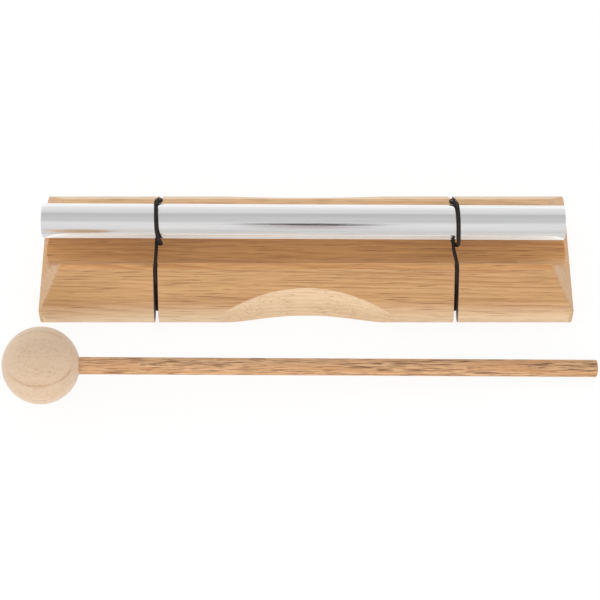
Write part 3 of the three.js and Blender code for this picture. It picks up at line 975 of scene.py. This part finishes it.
# Slings. Their places across the strand are in cord pitches; over the rod each is given with its
# angle in degrees round the rod, from level behind it
slings = {
    "left": {
        "place": -block["kerf"] + cord["leftShift"], "knot": 0.7, "lean": -1,
        "over": [[50, 0.15], [80, 0.22], [110, 0.28], [140, 0.34], [165, 0.45], [188, 0.7]],
    },
    "right": {
        "place": block["kerf"] + cord["rightShift"], "knot": -0.3, "lean": 1,
        "over": [[50, 0.35], [80, 0.55], [110, 0.65], [140, 0.72], [165, 0.78], [188, 0.86]],
    },
    "hook": [[1, -3.45, 1.4], [1, -3.25, 0.5], [0.8, -2.75, -0.45], [0.3, -1.95, -1.1], [-0.05, -1, -1.3],
             [-0.5, 0.1, -1.05], [-0.9, 1.1, -0.55], [-1, 1.9, -0.35]],
    "rise": [[-62, -1], [-40, -0.8]], "riseLast": -18,
    "knotRise": 2.4, "knotReach": 11, "knotLift": 0.5, "braidTurn": 0.4,
    "wrap": [[-0.5, -0.3, -0.55], [-0.6, 0.35, -0.35], [-0.1, 0.75, -0.15], [0.5, 0.5, 0.05], [0.6, -0.05, 0.2],
             [0.1, -0.25, 0.4]],
    "tailBack": [[0, 0.1, 0], [0.2, 0.35, 0.3], [0.35, 0.55, 0.7]],
    "tailSide": [[-0.2, 0, 0.1], [-0.8, 0.15, 0.35], [-1.25, 0.1, 0.85]],
}


# A loop from the knot over the rod, down in front, under the strand and back up to the knot, with
# both ends wrapped once round each other and cut
def slingRoutes(sling):
    knotAngle = math.degrees(math.asin(slings["knotRise"] / slingRadius))

    def onRod(degrees, across, lift=0):
        angle = math.radians(degrees)
        x = sling["place"] + across * cordPitch
        reach = slingRadius + lift
        return Vector((x, rodAxisY(x) + reach * math.cos(angle), rodAxis + reach * math.sin(angle)))

    strand = Vector((sling["place"], rodAxisY(sling["place"]), strandHeight))
    hook = [strand + Vector(share) * cordPitch for share in slings["hook"]]
    rise = [*slings["rise"], [slings["riseLast"], (sling["knot"] - 1) / 2]]
    start = onRod(knotAngle + slings["knotReach"], sling["knot"])
    end = onRod(knotAngle - slings["knotReach"], sling["knot"])
    loop = [start, *(onRod(*spot) for spot in sling["over"]), *hook, *(onRod(*spot) for spot in rise), end]

    # The knot's own strands: across the rod, out from it and up round it
    middle = onRod(knotAngle, sling["knot"], slings["knotLift"])
    turn = math.radians(knotAngle)
    axes = (Vector((-sling["lean"], 0, 0)), Vector((0, math.cos(turn), math.sin(turn))),
            Vector((0, -math.sin(turn), math.cos(turn))))
    knotted = [[middle + sum((axis * share for axis, share in zip(axes, spot)), Vector())
                for spot in slings[name]] for name in ("wrap", "tailBack", "tailSide")]
    return [loop, *knotted]


def makeSling(name, sling):
    shell = newShell()
    for route in slingRoutes(sling):
        addBraid(shell, smoothRoute(route), turnShift=slings["braidTurn"])
    return shellPiece(name, shell)


def makeCordMaterial():
    material, tree, shader = newMaterial("braidedElastic")
    place = addNode(tree, "ShaderNodeUVMap", uv_map="alongStrand").outputs["UV"]
    threads = noise(tree, place, cord["threads"], 2, 0.6)
    fuzz = noise(tree, inMm(tree, objectPlace(tree)), cord["fuzz"], 3, 0.6)
    fuzz = times(tree, ease(tree, fuzz, *cord["fuzzEdge"]), cord["fuzzShare"])
    colour = blendColour(tree, ease(tree, threads, *cord["threadEdge"]), cord["colour"], cord["glint"])
    colour = blendColour(tree, fuzz, colour, cord["glint"])
    cut = addNode(tree, "ShaderNodeAttribute", attribute_name="cutEnd").outputs["Fac"]
    fill(tree, shader, {
        "Base Color": blendColour(tree, cut, colour, cord["rubber"]), "Roughness": cord["rough"],
        "Specular IOR Level": cord["specular"], "Normal": addBump(tree, threads, cord["relief"]),
    })
    return material


# A base cord's halves, front and back, drawn sideways towards the sling between the kerf's rim and the channel;
# the sling rides on the rod
def makeCords():
    material = makeCordMaterial()
    for sideName, kerfX, shift in (("left", -block["kerf"], cord["leftShift"]),
                                   ("right", block["kerf"], cord["rightShift"])):
        for faceName, side in (("Front", -1), ("Back", 1)):
            shell = newShell()
            addBraid(shell, baseHalfRoute(kerfX, shift, side))
            piece = shellPiece(sideName + "BaseCord" + faceName, shell)
            wear(piece, material, None, "elastic_cord", sideName + "_base_cord")
            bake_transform(piece)
        piece = makeSling(sideName + "Sling", slings[sideName])
        wear(piece, material, "bar", "elastic_cord", sideName + "_bar_cord")


makeCords()
print("cords made")

# Mallet: along its own +Z from the middle of the ball
mallet = {
    "ball": 30 * mm, "stick": 6.7 * mm, "length": 231.6 * mm, "socketDepth": 19 * mm, "socketFit": 0.05 * mm,
    "place": Vector((-102.2 * mm, -55.9 * mm, 15 * mm)), "turn": math.radians(1.5),
    "ballSides": (112, 72), "stickSides": 72, "smoothAngle": math.radians(35),
    "socketLip": 0.25 * mm, "stickGap": 0.3 * mm, "stickShort": 0.35 * mm,
    "stickEdge": 0.5 * mm, "edgeSteps": 4,
    "crown": ((0.8 * mm, 0.18 * mm), (0.9 * mm, 0.12 * mm), (0.7 * mm, 0.05 * mm)),
    "ballWood": {
        "Pith": (0, -9.4, 31), "Slant": -0.025, "Ring Spacing": 8.43, "Ring Start": 0.8, "Ring Depth": 0.7,
        "Warp": 1, "Tone Depth": 0.2, "Fibre Depth": 0.75, "Pore Length": 2.6, "Pore Share": 0.12,
        "Pale": paint(222, 194, 164), "Dark": paint(192, 155, 122), "Pore": paint(180, 143, 110),
    },
    "ballRough": 0.55, "ballRelief": 0.03 * mm, "nap": 0.42, "napRough": 0.4,
    "stickWood": {
        "Pith": (0, 10, -22), "Slant": 0.035, "Ring Spacing": 2.4, "Ring Depth": 0.45, "Warp": 1.5,
        "Tone Depth": 0.5, "Fibre Depth": 1.2, "Pore Length": 8, "Pore Share": 0.25,
        "Pale": paint(236, 191, 145), "Dark": paint(202, 149, 101), "Pore": paint(96, 54, 29),
    },
    "stickRough": 0.5, "poreRough": 0.25, "stickRelief": 0.05 * mm,
}
stickReach = mallet["length"] - mallet["ball"] / 2
malletDip = math.asin((mallet["ball"] - mallet["stick"]) / 2 / stickReach)
malletTilt = (0, math.pi / 2 + malletDip, mallet["turn"])


# A part of the mallet, made upright, laid where the mallet lies
def layDown(piece):
    piece.location = mallet["place"]
    piece.rotation_euler = malletTilt
    applyPlace(piece)
    smoothShade(piece, mallet["smoothAngle"])
    return piece


def makeBall():
    radius = mallet["ball"] / 2
    socket = mallet["stick"] / 2 + mallet["socketFit"]
    mouth = math.sqrt(radius ** 2 - socket ** 2)
    sides, rings = mallet["ballSides"]
    bpy.ops.mesh.primitive_uv_sphere_add(segments=sides, ring_count=rings, radius=radius)
    piece = bpy.context.object
    piece.name = "turnedBall"
    editAll(piece)
    bpy.ops.mesh.bisect(plane_co=(0, 0, mouth), plane_no=(0, 0, 1), clear_outer=True)
    # The drilled socket: down its wall in two steps, then its flat end
    selectWhere(piece, "VERT", lambda vertex: vertex.co.z > mouth - mm / 100)
    lip = mallet["socketLip"]
    for down in (-lip, radius - mallet["socketDepth"] - mouth + lip):
        bpy.ops.mesh.extrude_region_move(TRANSFORM_OT_translate={"value": (0, 0, down)})
    bpy.ops.mesh.edge_face_add()
    faceOutwards()
    return layDown(piece)


def makeStick():
    start = mallet["ball"] / 2 - mallet["socketDepth"] + mallet["stickGap"]
    length = stickReach - mallet["stickShort"] - start
    place = (0, 0, start + length / 2)
    piece = addCylinder("dowelStick", mallet["stickSides"], mallet["stick"] / 2, length, place)
    applyPlace(piece)
    top = start + length - mm / 10
    selectWhere(piece, "EDGE", lambda edge: all(piece.data.vertices[i].co.z > top for i in edge.vertices))
    bpy.ops.mesh.bevel(offset=mallet["stickEdge"], segments=mallet["edgeSteps"], affect="EDGES")
    # The free end is crowned
    selectWhere(piece, "FACE", lambda face: face.normal.z > 0.99)
    for thickness, depth in mallet["crown"]:
        bpy.ops.mesh.inset(thickness=thickness, depth=depth)
    setMode("OBJECT")
    return layDown(piece)


# Coordinates along the mallet, in mm from the middle of the ball: X along the stick
def alongMallet(tree):
    values = {"Vector": objectPlace(tree), "Location": tuple(mallet["place"]),
              "Rotation": (0, malletDip, mallet["turn"])}
    return inMm(tree, addNode(tree, "ShaderNodeMapping", values, vector_type="TEXTURE").outputs[0])


# The fine nap of the bare ball is pale at its rim
def makeBallMaterial():
    material, tree, shader = newMaterial("bareBall")
    grain = addGrain(tree, alongMallet(tree), mallet["ballWood"])
    fill(tree, shader, {
        "Base Color": grain["Color"], "Roughness": mallet["ballRough"],
        "Sheen Weight": mallet["nap"], "Sheen Roughness": mallet["napRough"],
        "Normal": addBump(tree, grain["Height"], mallet["ballRelief"]),
    })
    return material


# Like the block, the stick is paler in the rod's mirror
def makeStickMaterial():
    material, tree, shader = newMaterial("bareDowel")
    grain = addGrain(tree, alongMallet(tree), mallet["stickWood"])
    mirrored = times(tree, lightPath(tree)["Is Glossy Ray"], block["mirrorShare"])
    fill(tree, shader, {
        "Base Color": blendColour(tree, mirrored, grain["Color"], block["mirrorTone"]),
        "Roughness": plus(tree, mallet["stickRough"], times(tree, grain["Pores"], mallet["poreRough"])),
        "Normal": addBump(tree, grain["Height"], mallet["stickRelief"]),
    })
    return material


wear(makeBall(), makeBallMaterial(), "mallet", "ball_wood", "mallet_head")
wear(makeStick(), makeStickMaterial(), "mallet", "stick_wood", "mallet_stick")
print("mallet made")

bpy.context.scene.view_settings.view_transform = "Standard"
